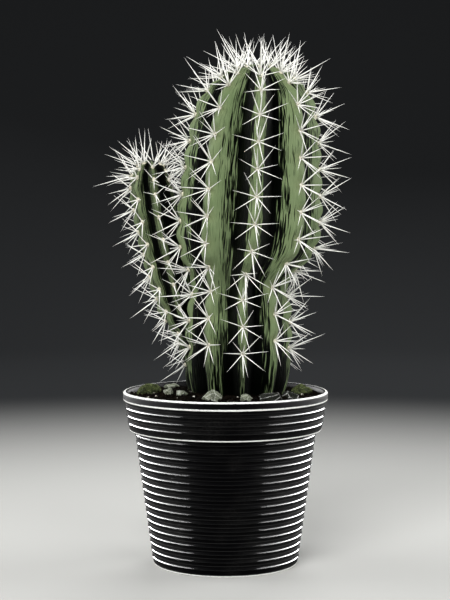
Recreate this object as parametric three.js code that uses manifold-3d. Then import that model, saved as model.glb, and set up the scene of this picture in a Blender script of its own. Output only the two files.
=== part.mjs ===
// Potted columnar cactus: a ribbed stem with a slimmer side stem at its foot, a row of spine clusters on
// every rib, roots and loose stones in potting soil, and a tapered pot with a banded rim and drain holes.
//
// Millimetres, +Z up. The origin is the centre of the pot's flat foot, on the surface it stands on.
// -Y is the front. A rib's angle is counted from the front, and grows towards +X.

import * as THREE from "three";
import { mergeVertices } from "three/addons/utils/BufferGeometryUtils.js";
import Module from "manifold-3d";

const wasm = await Module();
wasm.setup();

const DEG = Math.PI / 180;
const GAP = 0.3; // left between pieces that touch

// ---------------------------------------------------------------- driving dimensions

const POT = {
  height: 103.5,
  lipRadius: 61.3,
  lipHeight: 4.8,
  bandHeight: 23, // from the lip's top to the band's lower edge
  bandTopRadius: 60.7,
  bandFootRadius: 57.7,
  bodyTopRadius: 54.4,
  footRadius: 43.4,
  wall: 2.2,
  floor: 2.6,
  sides: 48,
};
const DRAIN = { count: 4, radius: 5, ringRadius: 26 };

const SOIL = { edgeDrop: 3.6, edgeRadius: 57.6, crownDrop: 1.3, crownRadius: 30 };

const MAIN_STEM = {
  ribs: 9,
  firstRib: 4 * DEG,
  grooveDepth: 0.28, // share of the crest radius
  rows: 34,
  // the crests' radius and height, from the buried foot to the crown
  outline: [
    [0, 86], [19, 89], [25, 100], [28.5, 112], [31, 136], [30.5, 155], [28.5, 168], [34.5, 178],
    [40, 187], [42.5, 198], [42, 223], [39.8, 247], [37.3, 265], [31, 281], [17, 294], [0, 299],
  ],
  // the centre line: height, x, y
  lean: [
    [86, 7.5, 0], [145, 8, 0], [168, 8.3, 0], [187, 12.2, 0], [199, 13.6, 0], [247, 16, 0], [299, 19.5, 0],
  ],
  // along each crest: the distance between areoles, the first full one's distance from the crown's centre,
  // the lowest one's height, and how far each rib's row is shifted down, as a share of the spacing
  areoles: {
    spacing: 15.8,
    first: 24,
    lowest: 122,
    phase: [0.86, 0.42, 0.78, 0.1, 0.6, 0.2, 0.5, 0.72, 0.56],
  },
};

const SIDE_STEM = {
  ribs: 7,
  firstRib: 10 * DEG,
  grooveDepth: 0.25,
  rows: 18,
  outline: [
    [0, 92], [6.5, 94], [8.5, 104], [9.5, 120], [10.5, 140], [12, 170], [12.8, 200], [13.4, 220],
    [12.4, 232], [7.5, 239], [0, 242],
  ],
  lean: [
    [92, -12, 9], [110, -14, 9], [133, -19.5, 8], [148, -27.5, 7.5], [162, -31.5, 7], [178, -35.6, 6.5],
    [197, -39.8, 6], [225, -44.2, 5], [242, -44.8, 5],
  ],
  areoles: { spacing: 13.4, first: 15, lowest: 116, phase: [0.98, 0.3, 0.7, 0.1, 0.4, 0.66, 0.2] },
};

const SPINES = {
  padHalfLength: 1.1, // along the rib
  cordHalfWidth: 0.75,
  cordHeight: 1.0,
  lift: 0.8, // of the felt above the skin
  radial: 13.5,
  central: 19.5,
  clearance: 2.4, // kept between needles of different ribs
};

const ROOTS = { count: 6, crown: 9, crownHeight: 14, top: 85.4, length: 62, spread: 22, radius: 3.6 };

// x, y, half length, half width, half height, turn about the vertical
const STONES = [
  [-46, 8, 7.5, 5.5, 4.2, 20],
  [-34, -5, 4.2, 3.2, 2.6, 75],
  [-26, -15, 3.4, 2.8, 2.4, 10],
  [-7, -34, 6.4, 4.2, 4.4, -8],
  [12, -35, 4.0, 3.0, 3.0, 35],
  [27, -35, 6.8, 4.6, 4.0, 8],
  [38, -22, 5.2, 3.8, 3.4, -40],
  [46, 4, 7.6, 5.0, 4.2, 64],
  [-33, 36, 5.2, 3.8, 3.4, 50],
  [12, 44, 6.4, 4.8, 3.6, 15],
  [34, 38, 4.2, 3.4, 2.8, -50],
];

// ---------------------------------------------------------------- solids

const material = (color, roughness) => new THREE.MeshStandardMaterial({ color, roughness, metalness: 0 });
const STEMS = [MAIN_STEM, SIDE_STEM];
const MATERIALS = {
  pot: material(0x0b0b0c, 0.3),
  soil: material(0x1d1814, 0.95),
  stone: material(0x9aa088, 0.85),
  stem: material(0x788962, 0.6),
  spine: material(0xf3f3ea, 0.5),
  root: material(0x8a6b4a, 0.9),
};

const part = new THREE.Group();

function addPiece(name, geometry, look) {
  const mesh = new THREE.Mesh(geometry, look);
  mesh.name = name;
  part.add(mesh);
}

function toSolid(geometry) {
  const bare = geometry.clone();
  bare.deleteAttribute("normal");
  bare.deleteAttribute("uv");
  const merged = mergeVertices(bare, 1e-4);
  const mesh = new wasm.Mesh({
    numProp: 3,
    vertProperties: merged.attributes.position.array,
    triVerts: new Uint32Array(merged.index.array),
  });
  return new wasm.Manifold(mesh);
}

function toGeometry(solid) {
  const mesh = solid.getMesh();
  return new THREE.BufferGeometry()
    .setAttribute("position", new THREE.BufferAttribute(mesh.vertProperties, 3))
    .setIndex(new THREE.BufferAttribute(mesh.triVerts, 1));
}

// A profile of [radius, height] points turned about the vertical axis.
function turned(profile, sides, firstAngle = 0) {
  const points = profile.map(([r, z]) => new THREE.Vector2(Math.max(r, 0), z));
  return new THREE.LatheGeometry(points, sides, firstAngle).rotateX(Math.PI / 2);
}

// Moves every vertex of a geometry by a function of its place.
function reshaped(geometry, move) {
  const position = geometry.attributes.position;
  const v = new THREE.Vector3();
  for (let i = 0; i < position.count; i++) {
    move(v.fromBufferAttribute(position, i));
    position.setXYZ(i, v.x, v.y, v.z);
  }
  return geometry;
}

// The same number for the same seed on every run, from 0 to 1.
const chance = (seed) => THREE.MathUtils.euclideanModulo(Math.sin(seed * 12.9898) * 43758.5453, 1);

// ---------------------------------------------------------------- pot

// Radius of the pot's outer wall at a height, below and above the band's lower edge.
const bandFoot = POT.height - POT.bandHeight;
const bandTop = POT.height - POT.lipHeight;
const { mapLinear } = THREE.MathUtils;
const bodyRadius = (z) => mapLinear(z, 0, bandFoot, POT.footRadius, POT.bodyTopRadius);
const bandRadius = (z) => mapLinear(z, bandFoot, bandTop, POT.bandFootRadius, POT.bandTopRadius);

// The pot's hollow, shrunk by a clearance: its outline from the floor's centre to a height inside the band.
function hollowOutline(clearance, top) {
  const inset = POT.wall + clearance;
  return [
    [0, POT.floor + clearance],
    [bodyRadius(POT.floor) - inset, POT.floor + clearance],
    [POT.bodyTopRadius - inset, bandFoot],
    [POT.bandFootRadius - inset, bandFoot + POT.wall],
    [bandRadius(top) - inset, top],
  ];
}

function potSolid() {
  const outside = [
    [0, 0],
    [POT.footRadius - 1, 0],
    [POT.footRadius, 1],
    [POT.bodyTopRadius, bandFoot],
    [POT.bandFootRadius - 0.6, bandFoot],
    [POT.bandFootRadius, bandFoot + 0.8],
    [POT.bandTopRadius - 0.1, bandTop - 0.6],
    [POT.lipRadius, bandTop + 0.4],
    [POT.lipRadius, POT.height - 1],
    [POT.lipRadius - 1, POT.height],
    [POT.lipRadius - 2, POT.height],
  ];
  const inside = hollowOutline(0, POT.height - 1).reverse();
  let pot = toSolid(turned([...outside, ...inside], POT.sides));
  const { radius, ringRadius } = DRAIN;
  const drill = new THREE.CylinderGeometry(radius, radius, 4 * POT.floor, 16).rotateX(Math.PI / 2);
  for (let i = 0; i < DRAIN.count; i++) {
    const angle = (2 * Math.PI * (i + 0.5)) / DRAIN.count;
    const [x, y] = [ringRadius * Math.cos(angle), ringRadius * Math.sin(angle)];
    pot = pot.subtract(toSolid(drill.clone().translate(x, y, 0)));
  }
  return pot;
}

// ---------------------------------------------------------------- stems

// A stem's centre line at a height.
function centreOf(stem, z) {
  stem.line ??= new THREE.CubicInterpolant(
    stem.lean.map(([height]) => height),
    stem.lean.flatMap(([, x, y]) => [x, y]),
    2,
  );
  const [x, y] = stem.line.evaluate(THREE.MathUtils.clamp(z, stem.lean[0][0], stem.lean.at(-1)[0]));
  return [x, y];
}

function outlineOf(stem) {
  stem.curve ??= new THREE.SplineCurve(stem.outline.map(([r, z]) => new THREE.Vector2(r, z)));
  return stem.curve;
}

// How far down the flank a share of the way from crest to groove lies, from 0 to 1: a rounded crest
// that runs straight into a sharp groove.
const CREST_ROUNDING = 0.25;
const flank = (share) =>
  (Math.hypot(share, CREST_ROUNDING) - CREST_ROUNDING) / (Math.hypot(1, CREST_ROUNDING) - CREST_ROUNDING);

// The ribbed body of a stem, with its skin moved out by a clearance.
function stemGeometry(stem, clearance = 0) {
  const profile = outlineOf(stem).getSpacedPoints(stem.rows).map((p) => [p.x, p.y]);
  const ribWidth = (2 * Math.PI) / stem.ribs;
  return reshaped(turned(profile, 4 * stem.ribs, stem.firstRib), (v) => {
    const angle = Math.atan2(v.x, -v.y);
    const acrossRib = THREE.MathUtils.euclideanModulo(angle - stem.firstRib, ribWidth) / ribWidth;
    const share = 2 * Math.min(acrossRib, 1 - acrossRib);
    const crest = Math.hypot(v.x, v.y);
    const radius = crest * (1 - stem.grooveDepth * flank(share)) + (crest > 0.01 ? clearance : 0);
    const [x, y] = centreOf(stem, v.z);
    v.set(x + radius * Math.sin(angle), y - radius * Math.cos(angle), v.z);
    if (clearance && crest <= 0.01) v.z += clearance * Math.sign(v.z - 150);
  });
}

// ---------------------------------------------------------------- soil, roots and stones

const soilTop = POT.height - SOIL.edgeDrop;
const soilCrown = POT.height - SOIL.crownDrop;

function soilHeight(x, y) {
  const r = Math.hypot(x, y);
  const share = THREE.MathUtils.clamp((r - SOIL.crownRadius) / (SOIL.edgeRadius - SOIL.crownRadius), 0, 1);
  return THREE.MathUtils.lerp(soilCrown, soilTop, share);
}

function soilSolid(raise = 0) {
  const outline = [...hollowOutline(GAP, soilTop), [SOIL.crownRadius, soilCrown], [0, soilCrown + 0.4]];
  return toSolid(turned(outline, POT.sides).translate(0, 0, raise));
}

// A stout crown under the main stem with roots that spread as they go down.
function rootsSolid(clearance = 0) {
  const [x, y] = centreOf(MAIN_STEM, ROOTS.top);
  const crown = new THREE.CylinderGeometry(
    ROOTS.crown + clearance,
    ROOTS.radius + clearance,
    ROOTS.crownHeight + clearance,
    12,
  ).rotateX(Math.PI / 2);
  crown.translate(x, y, ROOTS.top - (ROOTS.crownHeight - clearance) / 2);
  let solid = toSolid(crown);
  for (let i = 0; i < ROOTS.count; i++) {
    const angle = (2 * Math.PI * (i + 0.3 * chance(i + 1))) / ROOTS.count;
    const length = ROOTS.length * (0.75 + 0.25 * chance(i + 7));
    const root = new THREE.ConeGeometry(ROOTS.radius + clearance, length, 6, 4).rotateX(-Math.PI / 2);
    reshaped(root, (v) => {
      const down = Math.max(0.5 - v.z / length, 0);
      const out = 3 + ROOTS.spread * down ** 1.6;
      v.set(x + v.x + out * Math.sin(angle), y + v.y - out * Math.cos(angle), v.z);
    });
    root.translate(0, 0, ROOTS.top - 4 - length / 2);
    solid = solid.add(toSolid(root));
  }
  return solid;
}

// An angular stone, cut where it beds on the soil.
function stoneSolid([x, y, length, width, height, turn], index, bed) {
  const stone = new THREE.DodecahedronGeometry(1.15, 0).rotateX(0.9 * index).rotateY(0.5 * index);
  stone.scale(length, width, height).rotateZ(turn * DEG);
  stone.translate(x, y, soilHeight(x, y) + 0.25 * height);
  return toSolid(stone).subtract(bed);
}

// ---------------------------------------------------------------- spines

// A rib's crest as a function of the distance walked down from the crown: the place, and the directions
// down the rib, outwards and across.
function crestOf(stem, rib) {
  const curve = outlineOf(stem);
  const angle = stem.firstRib + (2 * Math.PI * rib) / stem.ribs;
  const outwards = new THREE.Vector3(Math.sin(angle), -Math.cos(angle), 0.3);
  const side = new THREE.Vector3(Math.cos(angle), Math.sin(angle), 0);
  const placeAt = (distance) => {
    const { x: r, y: z } = curve.getPointAt(1 - distance / curve.getLength());
    const [x, y] = centreOf(stem, z);
    return new THREE.Vector3(x + r * Math.sin(angle), y - r * Math.cos(angle), z);
  };
  return (distance) => {
    const down = placeAt(distance + 1).sub(placeAt(distance - 1)).normalize();
    const out = new THREE.Vector3().crossVectors(down, side).normalize();
    if (out.dot(outwards) < 0) out.negate();
    return { place: placeAt(distance), down, out, across: new THREE.Vector3().crossVectors(out, down) };
  };
}

// A stem's crest radius at a height, and 0 above its crown.
function crestRadius(stem, z) {
  stem.levels ??= outlineOf(stem).getSpacedPoints(300);
  return stem.levels.find((level, i) => i > 20 && level.y >= z)?.x ?? 0;
}

// Whether a point comes nearer than a margin to a stem's crests.
function isNear(stem, point, margin) {
  const [x, y] = centreOf(stem, point.z);
  const radius = crestRadius(stem, point.z - 1);
  return radius > 0 && Math.hypot(point.x - x, point.y - y) < radius + margin;
}

// How far down the rib each areole lies. They crowd together at the crown, and end where the rib meets
// the other stem.
function areoleDistances(stem, rib) {
  const { spacing, first, lowest, phase } = stem.areoles;
  const start = first + phase[rib] * spacing;
  const distances = [0.36 * start, 0.68 * start];
  for (let d = start; d < outlineOf(stem).getLength(); d += spacing) distances.push(d);
  const crest = crestOf(stem, rib);
  const other = STEMS.find((candidate) => candidate !== stem);
  let end = 2;
  while (crest(end).place.z > lowest && !isNear(other, crest(end).place, 4)) end += 1;
  return distances.filter((d) => d < end - SPINES.padHalfLength);
}

const needles = []; // every needle so far: its row and points along it

// Whether a needle stays out of the stems, the pot and the soil, and clear of the other rows' needles.
function isClear(row, from, to) {
  const along = [0.15, 0.3, 0.45, 0.6, 0.75, 0.9, 1].map((t) => new THREE.Vector3().lerpVectors(from, to, t));
  const blocked = along.some((p) => p.z < POT.height + 2 || STEMS.some((stem) => isNear(stem, p, 2)));
  const touches = (p, q) => p.distanceTo(q) < SPINES.clearance;
  const crowded = needles.some(
    (other) => other.row !== row && other.along.some((q) => along.some((p) => touches(p, q))),
  );
  if (blocked || crowded) return false;
  needles.push({ row, along });
  return true;
}

// One rib's spines: a felt cord just above the crest, and six needles from each areole's stretch of it,
// each drawn out of half of one of the three outer faces there.
function spineRow(row, stem, rib, scale) {
  const { padHalfLength, cordHalfWidth, cordHeight, lift, radial, central } = SPINES;
  const crest = crestOf(stem, rib);
  const distances = areoleDistances(stem, rib);
  const corners = [];
  const face = (...points) => points.forEach((p) => corners.push(p.x, p.y, p.z));

  const ringAt = (distance) => {
    const { place, out, across } = crest(distance);
    return [[-1, 0], [1, 0], [0.7, 1], [-0.7, 1]].map(([side, up]) =>
      place
        .clone()
        .addScaledVector(across, side * cordHalfWidth)
        .addScaledVector(out, lift + up * cordHeight),
    );
  };
  const cord = (upper, lower, sides) =>
    sides.forEach((side) => {
      const next = (side + 1) % 4;
      face(upper[side], upper[next], lower[next]);
      face(upper[side], lower[next], lower[side]);
    });

  // A face, or a needle of three faces where there is room for it.
  const needle = (points, direction, length) => {
    const foot = new THREE.Vector3();
    points.forEach((p) => foot.addScaledVector(p, 1 / 3));
    const tip = foot.clone().addScaledVector(direction.normalize(), length);
    if (!isClear(row, foot, tip)) return face(...points);
    points.forEach((p, i) => face(p, points[(i + 1) % 3], tip));
  };
  const cluster = (upper, lower, distance, seed) => {
    const { down, out, across } = crest(distance);
    cord(upper, lower, [0]);
    for (const side of [1, 2, 3]) {
      const next = (side + 1) % 4;
      const sideways = 2 - side; // +1, 0 and -1 across the rib
      const faces = [
        [-1, [upper[side], upper[next], lower[next]]],
        [1, [upper[side], lower[next], lower[side]]],
      ];
      for (const [half, points] of faces) {
        const luck = [0, 3, 5].map((shift) => chance(seed + 2 * side + half + shift));
        const direction = out
          .clone()
          .multiplyScalar(sideways ? 0.6 : 1)
          .addScaledVector(across, 0.95 * sideways + 0.2 * (luck[0] - 0.5))
          .addScaledVector(down, half * (0.25 + 0.45 * luck[1]));
        needle(points, direction, (sideways ? radial : central) * scale * (0.85 + 0.3 * luck[2]));
      }
    }
  };

  let above = ringAt(distances[0] - padHalfLength);
  face(above[0], above[2], above[1]);
  face(above[0], above[3], above[2]);
  distances.forEach((distance, i) => {
    if (i > 0) {
      const [middle, upper] = [(distances[i - 1] + distance) / 2, distance - padHalfLength].map(ringAt);
      cord(above, middle, [0, 1, 2, 3]);
      cord(middle, upper, [0, 1, 2, 3]);
      above = upper;
    }
    const lower = ringAt(distance + padHalfLength);
    cluster(above, lower, distance, 100 * row + 10 * i);
    above = lower;
  });
  face(above[0], above[1], above[2]);
  face(above[0], above[2], above[3]);
  return new THREE.BufferGeometry().setAttribute("position", new THREE.Float32BufferAttribute(corners, 3));
}

// ---------------------------------------------------------------- the object

const mainStem = stemGeometry(MAIN_STEM);
const sideStem = toSolid(stemGeometry(SIDE_STEM)).subtract(toSolid(stemGeometry(MAIN_STEM, GAP)));
const roots = rootsSolid();
const soil = soilSolid()
  .subtract(toSolid(stemGeometry(MAIN_STEM, GAP)))
  .subtract(toSolid(stemGeometry(SIDE_STEM, GAP)))
  .subtract(rootsSolid(GAP + 0.1));

addPiece("pot", toGeometry(potSolid()), MATERIALS.pot);
addPiece("potting_soil", toGeometry(soil), MATERIALS.soil);
addPiece("roots", toGeometry(roots), MATERIALS.root);
addPiece("main_stem", mainStem, MATERIALS.stem);
addPiece("side_stem", toGeometry(sideStem), MATERIALS.stem);

const bed = soilSolid(GAP);
STONES.forEach((stone, i) => {
  addPiece(`stone_${String(i + 1).padStart(2, "0")}`, toGeometry(stoneSolid(stone, i, bed)), MATERIALS.stone);
});

[["main", MAIN_STEM, 1], ["side", SIDE_STEM, 0.95]].forEach(([name, stem, scale], s) => {
  for (let rib = 0; rib < stem.ribs; rib++) {
    addPiece(`${name}_spines_${rib + 1}`, spineRow(20 * s + rib, stem, rib, scale), MATERIALS.spine);
  }
});

export default part;
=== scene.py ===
import math

import bpy
import numpy as np
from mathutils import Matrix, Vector, noise


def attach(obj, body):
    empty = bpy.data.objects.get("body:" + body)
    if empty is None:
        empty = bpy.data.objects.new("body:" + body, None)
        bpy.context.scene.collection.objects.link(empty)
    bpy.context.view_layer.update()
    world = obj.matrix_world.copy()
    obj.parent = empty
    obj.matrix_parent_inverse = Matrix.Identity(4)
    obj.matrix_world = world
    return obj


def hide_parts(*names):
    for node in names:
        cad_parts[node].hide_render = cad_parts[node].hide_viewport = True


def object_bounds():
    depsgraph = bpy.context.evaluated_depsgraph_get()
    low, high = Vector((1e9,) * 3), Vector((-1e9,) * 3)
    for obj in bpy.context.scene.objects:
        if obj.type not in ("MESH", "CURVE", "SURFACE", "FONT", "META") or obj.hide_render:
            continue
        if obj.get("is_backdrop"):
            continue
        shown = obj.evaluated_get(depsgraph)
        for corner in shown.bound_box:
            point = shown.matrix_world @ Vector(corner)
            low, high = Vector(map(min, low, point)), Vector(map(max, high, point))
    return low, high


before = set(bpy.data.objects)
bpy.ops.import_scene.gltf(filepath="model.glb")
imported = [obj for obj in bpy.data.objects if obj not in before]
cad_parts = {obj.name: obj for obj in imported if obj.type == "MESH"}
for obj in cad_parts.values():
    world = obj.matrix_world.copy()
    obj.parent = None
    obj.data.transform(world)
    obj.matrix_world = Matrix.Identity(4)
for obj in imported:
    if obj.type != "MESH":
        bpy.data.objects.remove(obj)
cad_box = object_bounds()

scene = bpy.context.scene
MM = 0.001


# ---------------------------------------------------------------- the studio
# The plant stands on a pale sheet that runs out on all sides and turns up into a plain wall. Its paint
# is a painted pool of light, pale round the plant and dark far out. A camera with a long lens stands in
# front of it, a little above the pot's rim, and soft panels light it from the front, from both sides and
# from behind.


def sum_of(operation, other_first=False):
    """How a reading takes one sum, written before or after the other value."""
    if other_first:
        return lambda reading, other: reckon(operation, other, reading)
    return lambda reading, other: reckon(operation, reading, other)


class Reading:
    """A number, direction, paint or geometry that a tree's nodes work out. It takes the usual sums."""

    def __init__(self, socket):
        self.socket = socket
        self.tree = socket.id_data

    __add__ = sum_of("ADD")
    __radd__ = sum_of("ADD", other_first=True)
    __sub__ = sum_of("SUBTRACT")
    __rsub__ = sum_of("SUBTRACT", other_first=True)
    __mul__ = sum_of("MULTIPLY")
    __rmul__ = sum_of("MULTIPLY", other_first=True)
    __truediv__ = sum_of("DIVIDE")
    __pow__ = sum_of("POWER")
    __gt__ = sum_of("GREATER_THAN")


def add_node(tree, kind, inputs=None, **settings):
    """A node in a tree, with its settings, and its inputs given by name or number."""
    node = tree.nodes.new(kind)
    for key, value in settings.items():
        setattr(node, key, value)
    for key, value in (inputs or {}).items():
        if isinstance(value, Reading):
            tree.links.new(value.socket, node.inputs[key])
        else:
            node.inputs[key].default_value = value
    return node


def read(tree, kind, inputs=None, output=0, **settings):
    """What a new node gives out."""
    return Reading(add_node(tree, kind, inputs, **settings).outputs[output])


def is_vector(value):
    """Whether a value is a direction or a paint rather than a number."""
    return value.socket.type in ("VECTOR", "RGBA") if isinstance(value, Reading) else isinstance(value, tuple)


def tree_of(*values):
    """The tree that some values are worked out in."""
    return next(value.tree for value in values if isinstance(value, Reading))


def reckon(operation, *values):
    """One sum on numbers or on directions. A direction times a number is scaled by it."""
    tree = tree_of(*values)
    vectors = [is_vector(value) for value in values]
    if operation == "MULTIPLY" and any(vectors) and not all(vectors):
        direction, number = values if vectors[0] else values[::-1]
        return read(tree, "ShaderNodeVectorMath", {0: direction, 3: number}, operation="SCALE")
    kind = "ShaderNodeVectorMath" if any(vectors) else "ShaderNodeMath"
    return read(tree, kind, dict(enumerate(values)), operation=operation)


def fade(value, start, end, low=0.0, high=1.0):
    """A value from start to end turned smoothly into one from low to high."""
    inputs = {"Value": value, "From Min": start, "From Max": end, "To Min": low, "To Max": high}
    return read(value.tree, "ShaderNodeMapRange", inputs, "Result", interpolation_type="SMOOTHSTEP")


def paint(red, green, blue):
    """A paint mixed on a screen, from 0 to 255 each, as the shader takes it."""
    return tuple((channel / 255) ** 2.2 for channel in (red, green, blue)) + (1.0,)


def mix(factor, first, second):
    """Two paints, or what paints them, mixed by a factor."""
    return read(factor.tree, "ShaderNodeMix", {0: factor, 6: first, 7: second}, 2, data_type="RGBA")


def speckle(place, scale, detail=3.0, roughness=0.55):
    """Cloudy noise from 0 to 1, with so many clouds to the metre."""
    inputs = {"Vector": place, "Scale": scale, "Detail": detail, "Roughness": roughness}
    return read(place.tree, "ShaderNodeTexNoise", inputs)


def new_finish(name, **fixed):
    """A material's shader and the place on the piece, with the numbers that are the same all over it."""
    finish = bpy.data.materials.new(name)
    finish.use_nodes = True
    shader = finish.node_tree.nodes["Principled BSDF"]
    for key, value in fixed.items():
        shader.inputs[key.replace("_", " ")].default_value = value
    return finish, shader, read(finish.node_tree, "ShaderNodeTexCoord", output="Object")


def feed(node, name, value):
    """Sends what a tree works out into an input of a shader or of another node."""
    value.tree.links.new(value.socket, node.inputs[name])


def relief(shader, height, depth, strength=1.0):
    """Fine relief on a finish, so many metres deep."""
    inputs = {"Height": height, "Distance": depth, "Strength": strength}
    feed(shader, "Normal", read(height.tree, "ShaderNodeBump", inputs))


def show(name, data):
    """An object in the scene with a mesh, a lens or a lamp, which takes its name."""
    data.name = name
    thing = bpy.data.objects.new(name, data)
    scene.collection.objects.link(thing)
    return thing


def turn_profile(profile, sides):
    """A mesh turned about the vertical from [radius, height] points that run up the outside."""
    angles = 2 * np.pi * np.arange(sides) / sides
    verts = []
    rings = []
    for radius, height in profile:
        if radius < 1e-6:
            rings.append([len(verts)] * sides)
            verts.append((0, 0, height))
        else:
            rings.append(list(range(len(verts), len(verts) + sides)))
            verts += [(radius * math.sin(a), -radius * math.cos(a), height) for a in angles]
    faces = []
    for lower, upper in zip(rings, rings[1:]):
        for i in range(sides):
            j = (i + 1) % sides
            corners = (lower[i], lower[j], upper[j], upper[i])
            faces.append(tuple(dict.fromkeys(corners)))
    mesh = bpy.data.meshes.new("turned")
    mesh.from_pydata(verts, [], faces)
    mesh.shade_smooth()
    return mesh


floor_reach = 1.5
wall_reach = 2.2
wall_height = 2.4
bend_steps = 12
sheet_line = [(0, 0), (0.3, 0), (0.7, 0), (floor_reach, 0)]
for step in range(1, bend_steps + 1):
    bend = math.pi / 2 * step / bend_steps
    swing = wall_reach - floor_reach
    sheet_line.append((floor_reach + swing * math.sin(bend), swing * (1 - math.cos(bend))))
sheet_line.append((wall_reach, wall_height))
backdrop = show("studio_sheet", turn_profile(sheet_line[::-1], 96))
sheet_paint, shader, place = new_finish("studio_sheet_paint", Roughness=0.9, Specular_IOR_Level=0.0)
# Painted pool of light: pale near the plant, darkening to grey far out and up the wall.
far_out = read(place.tree, "ShaderNodeVectorMath", {0: place}, "Value", operation="LENGTH")
feed(shader, "Base Color", mix(fade(far_out, 0.16, 0.9), paint(176, 176, 173), paint(44, 45, 46)))
backdrop.data.materials.append(sheet_paint)
backdrop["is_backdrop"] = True

camera_dip = 2.88
camera_lens = bpy.data.cameras.new("studio_camera")
camera_lens.lens = 87.04
camera_lens.sensor_width = 36
camera = show("studio_camera", camera_lens)
camera.location = (-0.0003, -0.8691, 0.2017)
camera.rotation_euler = (math.radians(90 - camera_dip), 0, 0)
scene.camera = camera

plant_middle = Vector((0, 0, 0.17))


def add_panel(name, azimuth, elevation, distance, width, height, watts, mirrored=True, diffuse=True):
    """A soft panel facing the plant, its azimuth counted from the front towards the right."""
    panel = bpy.data.lights.new(name, "AREA")
    panel.shape = "RECTANGLE"
    panel.size = width
    panel.size_y = height
    panel.energy = watts
    lamp = show(name, panel)
    turn = math.radians(azimuth)
    rise = math.radians(elevation)
    aim = Vector((math.sin(turn) * math.cos(rise), -math.cos(turn) * math.cos(rise), math.sin(rise)))
    lamp.location = plant_middle + aim * distance
    lamp.rotation_euler = aim.to_track_quat("Z", "Y").to_euler()
    lamp.visible_camera = False
    lamp.visible_glossy = mirrored
    lamp.visible_diffuse = diffuse
    return lamp


add_panel("key_panel", -18, 36, 1.7, 0.9, 0.9, 34, mirrored=False)
add_panel("fill_panel", 35, 20, 1.9, 1.0, 1.0, 12, mirrored=False)
add_panel("left_panel", -105, 20, 1.4, 1.0, 1.0, 14)
add_panel("right_panel", 105, 20, 1.4, 1.0, 1.0, 14)
add_panel("back_panel", 170, 34, 1.8, 1.0, 1.0, 20, mirrored=False)

room = bpy.data.worlds.new("studio_room")
room.use_nodes = True
room_light = room.node_tree.nodes["Background"]
room_light.inputs["Color"].default_value = (0.8, 0.82, 0.85, 1)
room_light.inputs["Strength"].default_value = 0.22
scene.world = room
scene.view_settings.view_transform = "Standard"


# ---------------------------------------------------------------- pot
# A black nursery pot, moulded in one piece from satin plastic: a tapered body with polished raised rings
# and a finer one between each two, a wider band with a bead at its lip, and four drain holes in its
# floor. The lip, the band's lower edge and the foot carry painted highlights, thin pale lines broken up
# by scuffs.

pot_height = 103.5 * MM
lip_radius = 61.3 * MM
lip_height = 4.8 * MM
band_height = 23 * MM
band_top_radius = 60.7 * MM
band_foot_radius = 57.7 * MM
body_top_radius = 54.4 * MM
foot_radius = 43.4 * MM
pot_wall = 2.2 * MM
pot_floor = 2.6 * MM
band_foot = pot_height - band_height
band_top = pot_height - lip_height
ring_pitch = 4.6 * MM
first_ring = 4.4 * MM
ring_half_width = 0.38 * MM
fine_half_width = 0.28 * MM
fine_rise = 0.05 * MM
body_ring_rise = 0.4 * MM
band_ring_rise = 0.34 * MM
pot_sides = 168


def body_radius(height):
    return foot_radius + (body_top_radius - foot_radius) * height / band_foot


def band_radius(height):
    share = (height - band_foot) / (band_top - band_foot)
    return band_foot_radius + (band_top_radius - band_foot_radius) * share


def ringed_wall(radius_at, start, end, first, ring_rise):
    """A wall's outline from start to end, with a raised ring at every pitch and a finer one between."""
    points = [(radius_at(start), start)]
    rings = ((0, ring_half_width, ring_rise), (ring_pitch / 2, fine_half_width, fine_rise))
    middle = first
    while middle < end - 1.2 * MM:
        for shift, half, rise in rings:
            for place in (-1, -0.6, -0.3, 0, 0.3, 0.6, 1):
                height = middle + shift + place * half
                swell = 0.5 * (1 + math.cos(math.pi * place))
                if start + 0.3 * MM < height < end - 0.3 * MM:
                    points.append((radius_at(height) + rise * swell, height))
        middle += ring_pitch
    points.append((radius_at(end), end))
    return points


def rounded(edge_radius, edge_height, *offsets):
    """Outline points given in millimetres outwards and upwards from an edge."""
    return [(edge_radius + out * MM, edge_height + up * MM) for out, up in offsets]


body_walls = (1.5 * MM, band_foot - 0.4 * MM)
band_walls = (band_foot + 1.2 * MM, band_top - 1.1 * MM)
outside = [(0, 0)]
outside += rounded(foot_radius, 0, (-6, 0), (-1.6, 0), (-0.7, 0), (-0.2, 0.2), (0, 0.6))
outside += [(body_radius(1 * MM), 1 * MM)]
outside += ringed_wall(body_radius, *body_walls, first_ring, body_ring_rise)
outside += [(body_top_radius + 0.25 * MM, band_foot)]
outside += rounded(band_foot_radius, band_foot, (-1.2, 0), (-0.6, 0), (-0.2, 0.1), (0.05, 0.4))
outside += [(band_radius(band_foot + 0.8 * MM), band_foot + 0.8 * MM)]
outside += ringed_wall(band_radius, *band_walls, band_foot + ring_pitch, band_ring_rise)
outside += rounded(band_top_radius, band_top, (-0.05, -0.7))
outside += rounded(lip_radius, band_top, (-0.35, -0.35), (0, 0.05), (0.1, 0.5), (0.1, 1))
outside += rounded(lip_radius, pot_height, (0.1, -1.7), (0.1, -1.2), (0, -0.7), (-0.3, -0.3), (-0.8, 0))
outside += rounded(lip_radius, pot_height, (-1.4, 0), (-2, -0.05), (-2.6, -0.6))
inside = [
    (band_radius(pot_height - 3 * MM) - pot_wall, pot_height - 3 * MM),
    (band_foot_radius - pot_wall, band_foot + pot_wall),
    (body_top_radius - pot_wall, band_foot),
    (body_radius(pot_floor) - pot_wall, pot_floor + 1 * MM),
    (body_radius(pot_floor) - pot_wall - 1 * MM, pot_floor),
    (0, pot_floor),
]
pot_blank = show("pot_blank", turn_profile(outside + inside, pot_sides))

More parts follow.
